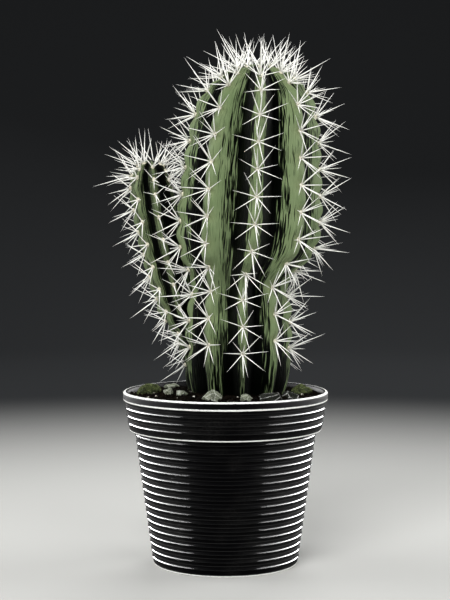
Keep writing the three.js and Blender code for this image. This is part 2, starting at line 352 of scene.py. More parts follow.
drain_holes = 4
drain_radius = 5 * MM
drain_from_axis = 26 * MM
drain_sides = 24
drill_mesh = bpy.data.meshes.new("drain_drill")
drill_verts = []
drill_faces = []
for hole in range(drain_holes):
    angle = 2 * math.pi / drain_holes * (hole + 0.5)
    start = len(drill_verts)
    for level in (-5 * MM, 8 * MM):
        for side in range(drain_sides):
            turn = 2 * math.pi * side / drain_sides
            x = drain_from_axis * math.cos(angle) + drain_radius * math.cos(turn)
            y = drain_from_axis * math.sin(angle) + drain_radius * math.sin(turn)
            drill_verts.append((x, y, level))
    upper = start + drain_sides
    drill_faces.append(tuple(range(upper - 1, start - 1, -1)))
    drill_faces.append(tuple(range(upper, upper + drain_sides)))
    for side in range(drain_sides):
        after = (side + 1) % drain_sides
        drill_faces.append((start + side, start + after, upper + after, upper + side))
drill_mesh.from_pydata(drill_verts, [], drill_faces)
drill = show("drain_drill", drill_mesh)
cut = pot_blank.modifiers.new("drain_holes", "BOOLEAN")
cut.object = drill
cut.operation = "DIFFERENCE"
cut.solver = "EXACT"


def made_mesh(blank):
    """The plain mesh that a blank's modifiers make of it. The blank goes."""
    bpy.context.view_layer.update()
    depsgraph = bpy.context.evaluated_depsgraph_get()
    made = blank.evaluated_get(depsgraph)
    mesh = bpy.data.meshes.new_from_object(made, preserve_all_data_layers=True, depsgraph=depsgraph)
    bpy.data.objects.remove(blank)
    return mesh


pot = show("pot_shell", made_mesh(pot_blank))
bpy.data.objects.remove(drill)


def keep_with(mesh, name, values):
    """Keeps a number or a direction with each point of a mesh."""
    values = np.array(values, np.float32)
    kind, key = ("FLOAT_VECTOR", "vector") if values.ndim == 2 else ("FLOAT", "value")
    mesh.attributes.new(name, kind, "POINT").data.foreach_set(key, values.ravel())


places = np.array([v.co for v in pot.data.vertices])
from_axis = np.hypot(places[:, 0], places[:, 1])
painted_edge_highlight = np.zeros(len(places))
highlight_edges = [
    # radius, height, how far the painted highlight reaches
    (lip_radius - 0.5 * MM, pot_height - 0.2 * MM, 0.75 * MM),
    (lip_radius, band_top + 0.1 * MM, 0.5 * MM),
    (band_foot_radius - 0.1 * MM, band_foot + 0.2 * MM, 0.6 * MM),
    (foot_radius - 0.2 * MM, 0.3 * MM, 0.7 * MM),
]
for radius, height, reach in highlight_edges:
    away = np.hypot(from_axis - radius, places[:, 2] - height)
    painted_edge_highlight = np.maximum(painted_edge_highlight, np.exp(-((away / reach) ** 2)))
keep_with(pot.data, "painted_edge_highlight", painted_edge_highlight)


def stored(place, name, output="Fac"):
    """A value kept with the mesh, at a place on it."""
    return read(place.tree, "ShaderNodeAttribute", output=output, attribute_name=name)


def pot_finish(name, roughness, **fixed):
    """Black plastic with dust in clouds, fine scuffs, and painted highlights as pale lines along its edges.
    """
    finish, shader, place = new_finish(name, **fixed)
    scuff = speckle(place, 900, 4)
    cloud = speckle(place, 45, 3)
    # Painted highlight: pale lines along the edges, broken up by the scuffs, and rougher there.
    highlit_edge = fade(stored(place, "painted_edge_highlight") * fade(scuff, 0.3, 0.5, 0.6, 1.0), 0.15, 0.55)
    dusty = fade(cloud, 0.45, 0.75) * fade(scuff, 0.4, 0.7, 0.1, 1.0)
    black = mix(dusty * 0.12, paint(9, 9, 10), paint(70, 69, 66))
    feed(shader, "Base Color", mix(highlit_edge, black, paint(246, 246, 243)))
    feed(shader, "Roughness", roughness + dusty * 0.15 + highlit_edge * 0.35)
    relief(shader, scuff, 0.02 * MM, 0.4)
    return finish


pot.data.materials.clear()
pot.data.materials.append(pot_finish("satin_pot_wall", 0.5, Specular_IOR_Level=0.01))
pot.data.materials.append(pot_finish("polished_pot_rings", 0.1, Specular_IOR_Level=0.3))
for face in pot.data.polygons:
    radius = math.hypot(face.center.x, face.center.y)
    height = face.center.z
    wall = body_radius(height) if height < band_foot else band_radius(height)
    on_wall = body_walls[0] < height <= body_walls[1] or band_walls[0] <= height < band_walls[1]
    face.material_index = 1 if on_wall and radius > wall + 0.02 * MM else 0
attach(pot, "root")
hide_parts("pot")

# Two long panels beside the pot light it alone, and only as glints.
glossy_things = bpy.data.collections.new("glossy_things")
glossy_things.objects.link(pot)
for name, azimuth in (("left_gloss_panel", -103), ("right_gloss_panel", 103)):
    glint = add_panel(name, azimuth, 14, 1.3, 3.1, 0.8, 520, diffuse=False)
    glint.light_linking.receiver_collection = glossy_things


# ---------------------------------------------------------------- roots
# Woody roots that spread from under the main stem and go down through the soil, all of them buried.
# They are living bark, light brown and cracked along their length.

bark, shader, place = new_finish("root_bark", Roughness=0.85)
grain_place = read(place.tree, "ShaderNodeMapping", {"Vector": place, "Scale": (1, 1, 0.2)})
crack = speckle(grain_place, 700, 4)
feed(shader, "Base Color", mix(crack, paint(92, 68, 44), paint(160, 128, 92)))
relief(shader, crack, 0.4 * MM)
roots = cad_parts["roots"]
roots.data.materials.clear()
roots.data.materials.append(bark)


# ---------------------------------------------------------------- potting soil
# Dark potting soil pressed into the pot up to just below its lip, a loose mix of peat crumbs with pale
# grit. The crumbs and grit lie on it and are sunk into it where they fell.

soil_gap = 0.3 * MM
soil_top = pot_height - 3.6 * MM
soil_crown = pot_height - 1.3 * MM
soil_crown_radius = 30 * MM
soil_edge_radius = 57.6 * MM
soil_rings = 46
soil_sides = 150
lump_rise = 0.55 * MM
pit_depth = 0.35 * MM


def soil_height(x, y):
    share = (math.hypot(x, y) - soil_crown_radius) / (soil_edge_radius - soil_crown_radius)
    return soil_crown + (soil_top - soil_crown) * min(max(share, 0), 1)


inset = pot_wall + soil_gap
soil_outline = [(0, pot_floor + soil_gap)]
soil_outline += [(share * (body_radius(pot_floor) - inset), pot_floor + soil_gap) for share in (0.4, 0.8, 1)]
soil_outline += [
    (body_top_radius - inset, band_foot),
    (band_foot_radius - inset, band_foot + pot_wall),
    (band_radius(soil_top) - inset, soil_top - 0.3 * MM),
]
soil_edge = band_radius(soil_top) - inset
for ring in range(soil_rings):
    radius = (soil_edge - 0.4 * MM) * (1 - ring / soil_rings)
    soil_outline.append((radius, soil_height(radius, 0)))
soil_outline.append((0, soil_crown))
soil_mesh = turn_profile(soil_outline, soil_sides)
for vertex in soil_mesh.vertices:
    x, y, z = vertex.co
    if z > soil_top - 0.1 * MM:
        lumps = noise.fractal((x * 140, y * 140, 3.1), 1.0, 2.0, 3)
        pits = noise.fractal((x * 520, y * 520, 7.7), 1.0, 2.0, 2)
        vertex.co.z = soil_height(x, y) + lump_rise * lumps + pit_depth * pits


def new_tree(name, **inputs):
    """A tree of geometry nodes that takes a mesh and inputs of each kind, and what it is given."""
    tree = bpy.data.node_groups.new(name, "GeometryNodeTree")
    tree.interface.new_socket(name="Geometry", in_out="INPUT", socket_type="NodeSocketGeometry")
    for kind, labels in inputs.items():
        for label in labels:
            tree.interface.new_socket(name=label, in_out="INPUT", socket_type="NodeSocket" + kind)
    tree.interface.new_socket(name="Geometry", in_out="OUTPUT", socket_type="NodeSocketGeometry")
    start = tree.nodes.new("NodeGroupInput")
    return tree, {socket.name: Reading(socket) for socket in start.outputs if socket.name}


def end_tree(geometry):
    """Makes every instance real at the end of a tree, and gives its result out."""
    end = geometry.tree.nodes.new("NodeGroupOutput")
    feed(end, "Geometry", read(geometry.tree, "GeometryNodeRealizeInstances", {"Geometry": geometry}))


def here(tree):
    return read(tree, "GeometryNodeInputPosition")


def part_of(place, axis):
    return read(place.tree, "ShaderNodeSeparateXYZ", {0: place}, axis)


def combine(x=0.0, y=0.0, z=0.0):
    """A direction from its three parts."""
    return read(tree_of(x, y, z), "ShaderNodeCombineXYZ", {0: x, 1: y, 2: z})


def random_number(tree, low, high, seed):
    """A random number from low to high for each point."""
    return read(tree, "FunctionNodeRandomValue", {2: low, 3: high, 8: seed}, 1)


def random_direction(tree, low, high, seed):
    return read(tree, "FunctionNodeRandomValue", {0: low, 1: high, 8: seed}, data_type="FLOAT_VECTOR")


def place_copies(points, shape, rotation, scale):
    """A shape set on every point."""
    inputs = {"Points": points, "Instance": shape, "Rotation": rotation, "Scale": scale}
    return read(points.tree, "GeometryNodeInstanceOnPoints", inputs)


def strew_points(mesh, chosen, density, seed):
    """Points strewn where a mesh is chosen, so many to the square metre, and the way out at each."""
    inputs = {"Mesh": mesh, "Selection": chosen, "Density": density, "Seed": seed}
    spread = add_node(mesh.tree, "GeometryNodeDistributePointsOnFaces", inputs, distribute_method="RANDOM")
    return Reading(spread.outputs["Points"]), Reading(spread.outputs["Normal"])


def shade_smooth(geometry, smooth):
    return read(geometry.tree, "GeometryNodeSetShadeSmooth", {0: geometry, "Shade Smooth": smooth})


def coat(geometry, finish):
    return read(geometry.tree, "GeometryNodeSetMaterial", {"Geometry": geometry, "Material": finish})


def crumple(copies, scale, depth):
    """Copies made real and pushed about by noise, so that no two are alike."""
    tree = copies.tree
    real = read(tree, "GeometryNodeRealizeInstances", {"Geometry": copies})
    wobble = read(tree, "ShaderNodeTexNoise", {"Vector": here(tree), "Scale": scale, "Detail": 1.0}, 1)
    inputs = {"Geometry": real, "Offset": (wobble - (0.5, 0.5, 0.5)) * depth}
    return read(tree, "GeometryNodeSetPosition", inputs)


def join(*parts):
    together = add_node(parts[0].tree, "GeometryNodeJoinGeometry")
    for part in parts:
        feed(together, 0, part)
    return Reading(together.outputs[0])


def grow(name, tree, start_mesh, settings):
    """The plain mesh that a tree makes from a start mesh with its inputs set, as a new piece."""
    start = show(name + "_start", start_mesh)
    modifier = start.modifiers.new("grow", "NODES")
    modifier.node_group = tree
    for item in tree.interface.items_tree:
        if item.in_out == "INPUT" and item.name in settings:
            modifier[item.identifier] = settings[item.name]
    return show(name, made_mesh(start))


def scatter_bits(bed, density, seed, size, flatness, finish, jag):
    """Jagged bits lying on the top of a bed, so many to the square metre."""
    tree = bed.tree
    faces_up = part_of(read(tree, "GeometryNodeInputNormal"), "Z") > 0.2
    on_top = faces_up * (part_of(here(tree), "Z") > soil_top - 2 * MM)
    points, _ = strew_points(bed, on_top, density, seed)
    bit = read(tree, "GeometryNodeMeshIcoSphere", {"Radius": 1.0, "Subdivisions": 1})
    turn = random_direction(tree, (0, 0, 0), (6.28, 6.28, 6.28), seed)
    big = size * (0.35 + random_number(tree, 0.0, 1.0, seed) ** 2.5)
    placed = place_copies(points, bit, turn, combine(big, big * 0.75, big * flatness))
    return coat(shade_smooth(crumple(placed, 900.0, jag), False), finish)


soil_tree, given = new_tree(
    "loose_soil",
    Float=("Crumb size", "Crumbs per square metre", "Grit size", "Grit per square metre"),
    Int=("Seed",),
    Material=("Peat", "Grit"),
)
bed = given["Geometry"]
seed = given["Seed"]
crumb_jag = 0.9 * MM
grit_jag = 0.7 * MM
crumbs = scatter_bits(
    bed, given["Crumbs per square metre"], seed, given["Crumb size"], 0.7, given["Peat"], crumb_jag
)
grit = scatter_bits(
    bed, given["Grit per square metre"], seed + 5, given["Grit size"], 0.8, given["Grit"], grit_jag
)
end_tree(join(coat(bed, given["Peat"]), crumbs, grit))

peat, shader, place = new_finish("peat", Roughness=0.95, Specular_IOR_Level=0.1)
fibre = speckle(place, 1500, 5)
damp = fade(speckle(place, 160, 3), 0.35, 0.65, 0.0, 0.6)
peat_shade = mix(fade(fibre, 0.35, 0.7), paint(8, 7, 6), paint(32, 27, 22))
feed(shader, "Base Color", mix(damp, peat_shade, paint(5, 5, 4)))
relief(shader, fibre, 0.5 * MM)

pale_grit, shader, place = new_finish("pale_grit", Roughness=0.8, Specular_IOR_Level=0.15)
tint = fade(speckle(place, 260, 1), 0.35, 0.65)
feed(shader, "Base Color", mix(tint, paint(104, 104, 92), paint(214, 212, 200)))
relief(shader, speckle(place, 2600, 3), 0.2 * MM)

soil = grow(
    "soil_body",
    soil_tree,
    soil_mesh,
    {
        "Crumb size": 1.5 * MM,
        "Crumbs per square metre": 330000.0,
        "Grit size": 1.0 * MM,
        "Grit per square metre": 26000.0,
        "Seed": 11,
        "Peat": peat,
        "Grit": pale_grit,
    },
)
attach(soil, "root")
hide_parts("potting_soil")


# ---------------------------------------------------------------- stones
# Eleven loose stones half sunk in the soil: pale broken rock with chipped edges, three dark slabs with
# white edges, and three rounder ones grown over with a cushion of green moss. The pale edges are part
# chipped wear and part painted highlight.

stone_sizes = {
    # name: x, y, half length, half width, half height, turn in degrees, cleaved faces
    "stone_01": (-46, 8, 7.5, 5.5, 4.2, 20, 18),
    "stone_02": (-34, -5, 4.2, 3.2, 2.6, 75, 14),
    "stone_03": (-26, -15, 3.4, 2.8, 2.4, 10, 14),
    "stone_04": (-7, -34, 6.4, 4.2, 4.4, -8, 20),
    "stone_05": (12, -35, 4.0, 3.0, 3.0, 35, 14),
    "stone_06": (27, -35, 6.8, 4.6, 4.0, 8, 10),
    "stone_07": (38, -22, 5.2, 3.8, 3.4, -40, 10),
    "stone_08": (46, 4, 7.6, 5.0, 4.2, 64, 18),
    "stone_09": (-33, 36, 5.2, 3.8, 3.4, 50, 14),
    "stone_10": (12, 44, 6.4, 4.8, 3.6, 15, 18),
    "stone_11": (34, 38, 4.2, 3.4, 2.8, -50, 14),
}
mossy_stones = ("stone_01", "stone_08", "stone_10")
slab_stones = ("stone_06", "stone_07", "stone_11")
edge_width = 0.045
edge_wear = 0.05
face_stray = 0.22
nearest_face = 0.66
farthest_face = 0.95
rough_depth = 0.07
crumbly_depth = 0.02
bulge_reach = 1.12
stone_lift = 0.25


def stone_finish(name, dull, bright, chip_and_highlight_paint, flecks, moss):
    """Weathered rock: two paints in clouds, dark pits, pale flecks, pale chipped edges that are also a
    painted highlight, and a green film.
    """
    finish, shader, place = new_finish(name, Roughness=0.88, Specular_IOR_Level=0.12)
    cloud = speckle(place, 230, 4)
    grain = speckle(place, 1500, 4)
    fleck = speckle(place, 3300, 2)
    rock = mix(fade(cloud, 0.3, 0.7), dull, bright)
    rock = mix(fade(grain, 0.5, 0.64, 0.0, 0.85), rock, paint(34, 37, 29))
    rock = mix(fade(fleck, 0.56, 0.68, 0.0, flecks), rock, chip_and_highlight_paint)
    # Pale edges, part chipped wear and part painted highlight.
    chipped_and_highlit = stored(place, "edge") * fade(grain, 0.62, 0.5) * fade(cloud, 0.35, 0.55, 0.2, 1.0)
    rock = mix(chipped_and_highlit, rock, chip_and_highlight_paint)
    green = mix(fade(grain, 0.35, 0.65), paint(24, 29, 19), paint(84, 94, 64))
    feed(shader, "Base Color", mix(fade(cloud, 0.25, 0.6) * moss, rock, green))
    relief(shader, grain + fleck, 0.8 * MM)
    return finish


stone_paints = {
    # name: dull and bright paints, the paint of flecks, chips and painted edge highlights, how many flecks,
    # how much moss
    "pale_rock": (paint(82, 88, 70), paint(160, 166, 144), paint(236, 238, 228), 0.75, 0.25),
    "slab_rock": (paint(16, 17, 15), paint(44, 46, 41), paint(250, 250, 246), 0.12, 0.05),
    "mossy_rock": (paint(40, 44, 36), paint(66, 72, 58), paint(120, 124, 106), 0.4, 0.85),
}
pale_rock, slab_rock, mossy_rock = (stone_finish(name, *paints) for name, paints in stone_paints.items())


def cone(tree, sides, segments, top, foot):
    """A cone one unit high, with the radius of its top and of its foot."""
    inputs = {"Vertices": sides, "Side Segments": segments, "Radius Top": top, "Radius Bottom": foot}
    inputs["Depth"] = 1.0
    return read(tree, "GeometryNodeMeshCone", inputs, "Mesh", fill_type="TRIANGLE_FAN")


def stand_along(way):
    """The turn that stands a copy along a direction."""
    return read(way.tree, "FunctionNodeAlignRotationToVector", {"Vector": way}, axis="Z")


moss_tree, given = new_tree(
    "moss_cushion", Float=("Tufts per square metre", "Tuft length"), Int=("Seed",), Material=("Moss",)
)
rock = given["Geometry"]
faces_up = part_of(read(moss_tree, "GeometryNodeInputNormal"), "Z") > -0.1
grown_over = faces_up * (speckle(here(moss_tree), 240.0, 2.0, 0.5) > 0.44)
points, way_out = strew_points(rock, grown_over, given["Tufts per square metre"], given["Seed"])
stray = random_direction(moss_tree, (-0.7, -0.7, -0.4), (0.7, 0.7, 0.7), given["Seed"])
length = given["Tuft length"] * random_number(moss_tree, 0.5, 1.2, given["Seed"] + 3)
tufts = place_copies(points, cone(moss_tree, 4, 1, 0.03, 0.3), stand_along(way_out + stray), length)
end_tree(join(rock, coat(tufts, given["Moss"])))

moss, shader, place = new_finish("moss_tufts", Roughness=0.9, Specular_IOR_Level=0.15)
fine = speckle(place, 2400, 2)
moss_shade = mix(fade(speckle(place, 420, 3), 0.35, 0.65), paint(38, 45, 27), paint(98, 108, 70))
feed(shader, "Base Color", mix(fade(fine, 0.55, 0.7, 0.0, 0.8), moss_shade, paint(158, 164, 122)))
relief(shader, fine, 0.2 * MM)


def uneven(spots, shift, lumps, *kind):
    """How far each spot stands out, with so many lumps along a stone's half."""
    return np.array([noise.fractal((p[0] * lumps + shift, p[1] * lumps, p[2] * lumps), *kind) for p in spots])


def cleave_stone(number, sizes):
    """A ball split along flat faces all round, worn along their edges, roughened and laid in the soil."""
    x, y, length, width, height, turn, cleaved = sizes
    draw = np.random.default_rng(40 + number)
    bpy.ops.mesh.primitive_ico_sphere_add(subdivisions=6, radius=1)
    blank = bpy.context.object
    mesh = blank.data
    spots = np.array([v.co for v in mesh.vertices])
    step = np.arange(cleaved) + 0.5
    level = 1 - 2 * step / cleaved
    spin = step * math.pi * (3 - math.sqrt(5))
    ring = np.sqrt(1 - level**2)
    aims = np.stack([ring * np.cos(spin), ring * np.sin(spin), level], axis=1)
    aims += draw.normal(0, face_stray, (cleaved, 3))
    aims /= np.linalg.norm(aims, axis=1)[:, None]
    reaches = draw.uniform(nearest_face, farthest_face, cleaved) / np.maximum(spots @ aims.T, 0.05)
    reaches.sort(axis=1)
    edge = np.exp(-(((reaches[:, 1] - reaches[:, 0]) / edge_width) ** 2))
    spots *= (reaches[:, 0] - edge_wear * edge)[:, None]
    shift = 10.0 * number
    rough = uneven(spots, shift, 3, 1.0, 2.1, 5)
    crumbly = uneven(spots, shift, 13, 0.7, 2.0, 3)
    spots *= (1 + rough_depth * rough + crumbly_depth * crumbly)[:, None]
    spots *= bulge_reach / np.abs(spots).max(axis=0)
    spots *= np.array([length, width, height]) * MM
    angle = math.radians(turn)
    along = spots[:, 0] * math.cos(angle) - spots[:, 1] * math.sin(angle)
    across = spots[:, 0] * math.sin(angle) + spots[:, 1] * math.cos(angle)
    spots[:, 0] = along + x * MM
    spots[:, 1] = across + y * MM
    spots[:, 2] += soil_height(x * MM, y * MM) + stone_lift * height * MM
    mesh.vertices.foreach_set("co", spots.ravel())
    keep_with(mesh, "edge", edge)
    mesh.shade_smooth()
    mesh.update()
    bpy.data.objects.remove(blank)
    return mesh


for number, (name, sizes) in enumerate(stone_sizes.items()):
    stone_mesh = cleave_stone(number, sizes)
    if name in mossy_stones:
        stone_mesh.materials.append(mossy_rock)
        settings = {"Tufts per square metre": 7e6, "Tuft length": 0.9 * MM, "Seed": 70 + number, "Moss": moss}
        stone = grow(name + "_rock", moss_tree, stone_mesh, settings)
    else:
        stone_mesh.materials.append(slab_rock if name in slab_stones else pale_rock)
        stone = show(name + "_rock", stone_mesh)
    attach(stone, "root")
    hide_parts(name)


# ---------------------------------------------------------------- stems
# The cactus: a stout nine-ribbed main stem with a waist, and a slim seven-ribbed side stem that leaves
# its foot and bends away to the left. Both are living flesh in a waxy grey-green skin. Each rib is
# notched where a spine cluster sits and swells between clusters. Painted shade turns each rib near black
# in its grooves and climbs its flanks in dark streaks.

main_stem = {
    "ribs": 9,
    "first_rib": math.radians(4),
    "columns_on_rib": 20,
    "groove_depth": 0.28,
    "rows": 230,
    "outline": [
        (0, 86), (19, 89), (25, 100), (28.5, 112), (31, 136), (30.5, 155), (28.5, 168), (34.5, 178),
        (40, 187), (42.5, 198), (42, 223), (39.8, 247), (37.3, 265), (31, 281), (17, 294), (0, 299),
    ],
    "lean": [
        (86, 7.5, 0), (145, 8, 0), (168, 8.3, 0), (187, 12.2, 0), (199, 13.6, 0), (247, 16, 0),
        (299, 19.5, 0),
    ],
    "spacing": 15.8,
    "first": 24,
    "lowest": 122,
    "phase": (0.86, 0.42, 0.78, 0.1, 0.6, 0.2, 0.5, 0.72, 0.56),
    # how full each rib's clusters are, because those in the fork stay small
    "fullness": (1,) * 9,
    # painted shade: how dark the crests are painted, and how strongly the painted shade climbs each
    # flank in dark streaks, from the first rib's right flank round
    "painted_crest_shade": 0.0,
    "dusk": (3.6, 0.95, 2.8, 1.0, 2.4, 1.4, 1.5, 1.7, 1.2, 1.4, 1.7, 1.4, 1.5, 2.0, 1.5, 3.0, 0.62, 3.4),
}
side_stem = {
    "ribs": 7,
    "first_rib": math.radians(10),
    "columns_on_rib": 16,
    "groove_depth": 0.25,
    "rows": 150,
    "outline": [
        (0, 92), (6.5, 94), (8.5, 104), (9.5, 120), (10.5, 140), (12, 170), (12.8, 200), (13.4, 220),
        (12.4, 232), (7.5, 239), (0, 242),
    ],
    "lean": [
        (92, -12, 9), (110, -14, 9), (133, -19.5, 8), (148, -27.5, 7.5), (162, -31.5, 7),
        (178, -35.6, 6.5), (197, -39.8, 6), (225, -44.2, 5), (242, -44.8, 5),
    ],
    "spacing": 13.4,
    "first": 15,
    "lowest": 116,
    "phase": (0.98, 0.3, 0.7, 0.1, 0.4, 0.66, 0.2),
    "fullness": (0.68, 0.62, 0.7, 0.9, 1, 1, 0.8),
    "painted_crest_shade": 0.14,
    "dusk": (1.6, 2.2, 3.0, 2.0, 1.6, 1.4, 1.6, 1.4, 1.8, 2.0, 0.5, 0.85, 1.0, 1.2),
}


def curve_between(a, b, pull, push, t):
    """A smooth way from a to b, leaving a with one slope and reaching b with another."""
    return (2 * a - 2 * b + pull + push) * t**3 + (3 * b - 3 * a - 2 * pull - push) * t**2 + pull * t + a


def smooth_outline(points):
    """A smooth line through an outline's points, in close steps."""
    points = np.array(points, float)
    last = len(points) - 1
    t = np.linspace(0, 1, 60, endpoint=False)[:, None]
    line = []
    for i in range(last):
        before, a, b, after = (points[min(max(k, 0), last)] for k in (i - 1, i, i + 1, i + 2))
        line.append(curve_between(a, b, (b - before) / 2, (after - a) / 2, t))
    line.append(points[-1:])
    return np.concatenate(line)


def smooth_lean(table, height):
    """The centre line's place across at each height, between the table's rows."""
    table = np.array(table, float)
    levels = table[:, 0]
    height = np.clip(height, levels[0], levels[-1])
    row = np.clip(np.searchsorted(levels, height, side="right") - 1, 0, len(levels) - 2)
    rise = np.diff(levels)
    share = (height - levels[row]) / rise[row]
    found = []
    for column in (1, 2):
        value = table[:, column]
        slope = np.diff(value) / rise
        lean = np.concatenate([slope[:1], (slope[1:] + slope[:-1]) / 2, slope[-1:]])
        pull = lean[row] * rise[row]
        push = lean[row + 1] * rise[row]
        found.append(curve_between(value[row], value[row + 1], pull, push, share))
    return found


for stem in (main_stem, side_stem):
    line = smooth_outline(stem["outline"])[::-1]
    stem["radius"] = np.maximum(line[:, 0], 0)
    stem["height"] = line[:, 1]
    stem["walk"] = np.concatenate([[0], np.cumsum(np.hypot(*np.diff(line, axis=0).T))])
    stem["centre"] = smooth_lean(stem["lean"], stem["height"])


def at_walk(stem, distance):
    """Crest radius, height and centre at a distance walked down from the crown, in millimetres."""
    keys = (stem["radius"], stem["height"], *stem["centre"])
    return [float(np.interp(distance, stem["walk"], key)) for key in keys]


def rib_angle(stem, rib):
    return stem["first_rib"] + 2 * math.pi * rib / stem["ribs"]


def crest_place(stem, rib, distance):
    radius, height, x, y = at_walk(stem, distance)
    angle = rib_angle(stem, rib)
    return Vector((x + radius * math.sin(angle), y - radius * math.cos(angle), height))


def is_near(stem, point, margin):
    """Whether a point comes nearer than a margin to a stem's crests."""
    order = np.argsort(stem["height"])
    if point.z > stem["height"].max():
        return False
    radius = np.interp(point.z - 1, stem["height"][order], stem["radius"][order])
    x, y = smooth_lean(stem["lean"], np.array([point.z]))
    return math.hypot(point.x - x[0], point.y - y[0]) < radius + margin


crown_shares = (0.36, 0.68)
fork_gap = 4


def areole_walks(stem, other, rib):
    """How far down a rib each spine cluster sits, crowded at the crown, down to the other stem."""
    start = stem["first"] + stem["phase"][rib] * stem["spacing"]
    walks = [share * start for share in crown_shares]
    while start < stem["walk"][-1]:
        walks.append(start)
        start += stem["spacing"]
    end = 2.0
    while crest_place(stem, rib, end).z > stem["lowest"]:
        if is_near(other, crest_place(stem, rib, end), fork_gap):
            break
        end += 1
    return [walk for walk in walks if walk < end - 1.1]


def cluster_rows(stem, other):
    """For each rib, its clusters' places with the ways outwards and down the rib, and their walks."""
    rows = []
    for rib in range(stem["ribs"]):
        angle = rib_angle(stem, rib)
        side = Vector((math.cos(angle), math.sin(angle), 0))
        row = []
        for walk in areole_walks(stem, other, rib):
            above = crest_place(stem, rib, walk - 1)
            down = (crest_place(stem, rib, walk + 1) - above).normalized()
            out = down.cross(side).normalized()
            if out.dot(Vector((math.sin(angle), -math.cos(angle), 0.3))) < 0:
                out.negate()
            row.append((crest_place(stem, rib, walk), out, down, walk))
        rows.append(row)
    return rows


def points_mesh(places, **kept):
    """Loose points with the numbers and directions that go with them."""
    mesh = bpy.data.meshes.new("points")
    mesh.from_pydata([tuple(p) for p in places], [], [])
    for name, values in kept.items():
        keep_with(mesh, name, values)
    return mesh


def named(tree, name, kind="FLOAT"):
    """A number or direction that goes with each point."""
    return read(tree, "GeometryNodeInputNamedAttribute", {"Name": name}, data_type=kind)


def of_point(geometry, index, value, kind="FLOAT"):
    """What a geometry says at its point with an index."""
    inputs = {"Geometry": geometry, "Value": value, "Index": index}
    return read(geometry.tree, "GeometryNodeSampleIndex", inputs, data_type=kind)


def marks_of(marks):
    """The points of an object that a tree is given."""
    return read(marks.tree, "GeometryNodeObjectInfo", {"Object": marks}, "Geometry")


def keep(geometry, name, value):
    """A mesh that keeps a number or direction for its finish."""
    kind = "FLOAT_VECTOR" if is_vector(value) else "FLOAT"
    inputs = {"Geometry": geometry, "Name": name, "Value": value}
    return read(geometry.tree, "GeometryNodeStoreNamedAttribute", inputs, data_type=kind)


def move_to(geometry, place):
    return read(geometry.tree, "GeometryNodeSetPosition", {"Geometry": geometry, "Position": place})


stem_tree, given = new_tree(
    "ribbed_stem",
    Int=("Ribs", "Columns on a rib"),
    Float=(
        "First rib", "Groove depth", "Crest rounding", "Notch depth", "Notch reach", "Swelling", "Painted crest shade",
    ),
    Object=("Clusters", "Flanks"),
    Material=("Skin",),
)
guide = given["Geometry"]
rows = read(stem_tree, "GeometryNodeAttributeDomainSize", {0: guide}, "Point Count")
columns = given["Ribs"] * given["Columns on a rib"] + 1
inputs = {"Size X": 1.0, "Size Y": 1.0, "Vertices X": columns, "Vertices Y": rows}
grid = read(stem_tree, "GeometryNodeMeshGrid", inputs, "Mesh")
around = part_of(here(stem_tree), "X") + 0.5
upward = part_of(here(stem_tree), "Y") + 0.5
row = reckon("ROUND", upward * (rows - 1))
crest = of_point(guide, row, named(stem_tree, "crest"))
walked = of_point(guide, row, named(stem_tree, "walked"))
centre = of_point(guide, row, here(stem_tree), "FLOAT_VECTOR")

# From a rib's crest to the groove beside it the flank runs from 0 to 1, rounded over the crest.
rib_turn = around * given["Ribs"]
across = reckon("FRACT", rib_turn)
share = reckon("MINIMUM", across, 1 - across) * 2
rounding = given["Crest rounding"]
slant = reckon("SQRT", share * share + rounding * rounding)
steepest = reckon("SQRT", 1 + rounding * rounding)
flank = (slant - rounding) / (steepest - rounding)
fluted = crest * (1 - flank * given["Groove depth"])
angle = given["First rib"] + around * (2 * math.pi)
outward = combine(reckon("SINE", angle), reckon("COSINE", angle) * -1)
smooth_place = centre + outward * fluted

# A rib dips round each cluster and swells between them, with slow lumps and fine wrinkles over all that
# die out towards the crown's point.
lump_depth = 2.2 * MM
wrinkle_depth = 0.7 * MM
full_radius = 10 * MM
inputs = {0: marks_of(given["Clusters"]), "Source Position": smooth_place}
away = read(stem_tree, "GeometryNodeProximity", inputs, "Distance", target_element="POINTS")
reach = away / given["Notch reach"]
notch = reckon("EXPONENT", reach * reach * -1)
swell = given["Swelling"] * (1 - notch) * (1 - flank) ** 1.4
lump = (speckle(smooth_place, 55.0, 2.0, 0.5) - 0.5) * lump_depth
wrinkle_place = combine(rib_turn, 0.0, walked * 260)
wrinkle = (speckle(wrinkle_place, 1.6, 2.0, 0.5) - 0.5) * wrinkle_depth * flank
moved = (swell - given["Notch depth"] * notch) + (lump + wrinkle)
slim = reckon("MINIMUM", crest / full_radius, 1)
place = centre + outward * (fluted + moved * slim)

# The skin's streaks run along the ribs, and each flank gets painted shade of its own, darkest in the grooves.
flank_number = reckon("FLOOR", rib_turn * 2 * 0.9999)
dusk = of_point(marks_of(given["Flanks"]), flank_number, named(stem_tree, "dusk"))
skin_place = outward * 0.04 + combine(z=walked * 0.045)
kept = keep(grid, "shade", (flank + given["Painted crest shade"]) * dusk)
kept = keep(kept, "notch", notch)
kept = keep(kept, "skin_place", skin_place)
weld_distance = 0.02 * MM
inputs = {"Geometry": move_to(kept, place), "Distance": weld_distance}
welded = read(stem_tree, "GeometryNodeMergeByDistance", inputs)
end_tree(coat(shade_smooth(welded, True), given["Skin"]))

dark_foot_top = 158 * MM
dark_foot_bottom = 100 * MM
skin, shader, place = new_finish("waxy_skin", Roughness=0.5, Specular_IOR_Level=0.2)
along_rib = stored(place, "skin_place", "Vector")
streaks = fade(speckle(along_rib, 2100, 1, 0.5), 0.3, 0.7)
broad_streaks = fade(speckle(along_rib, 700, 1), 0.3, 0.7)
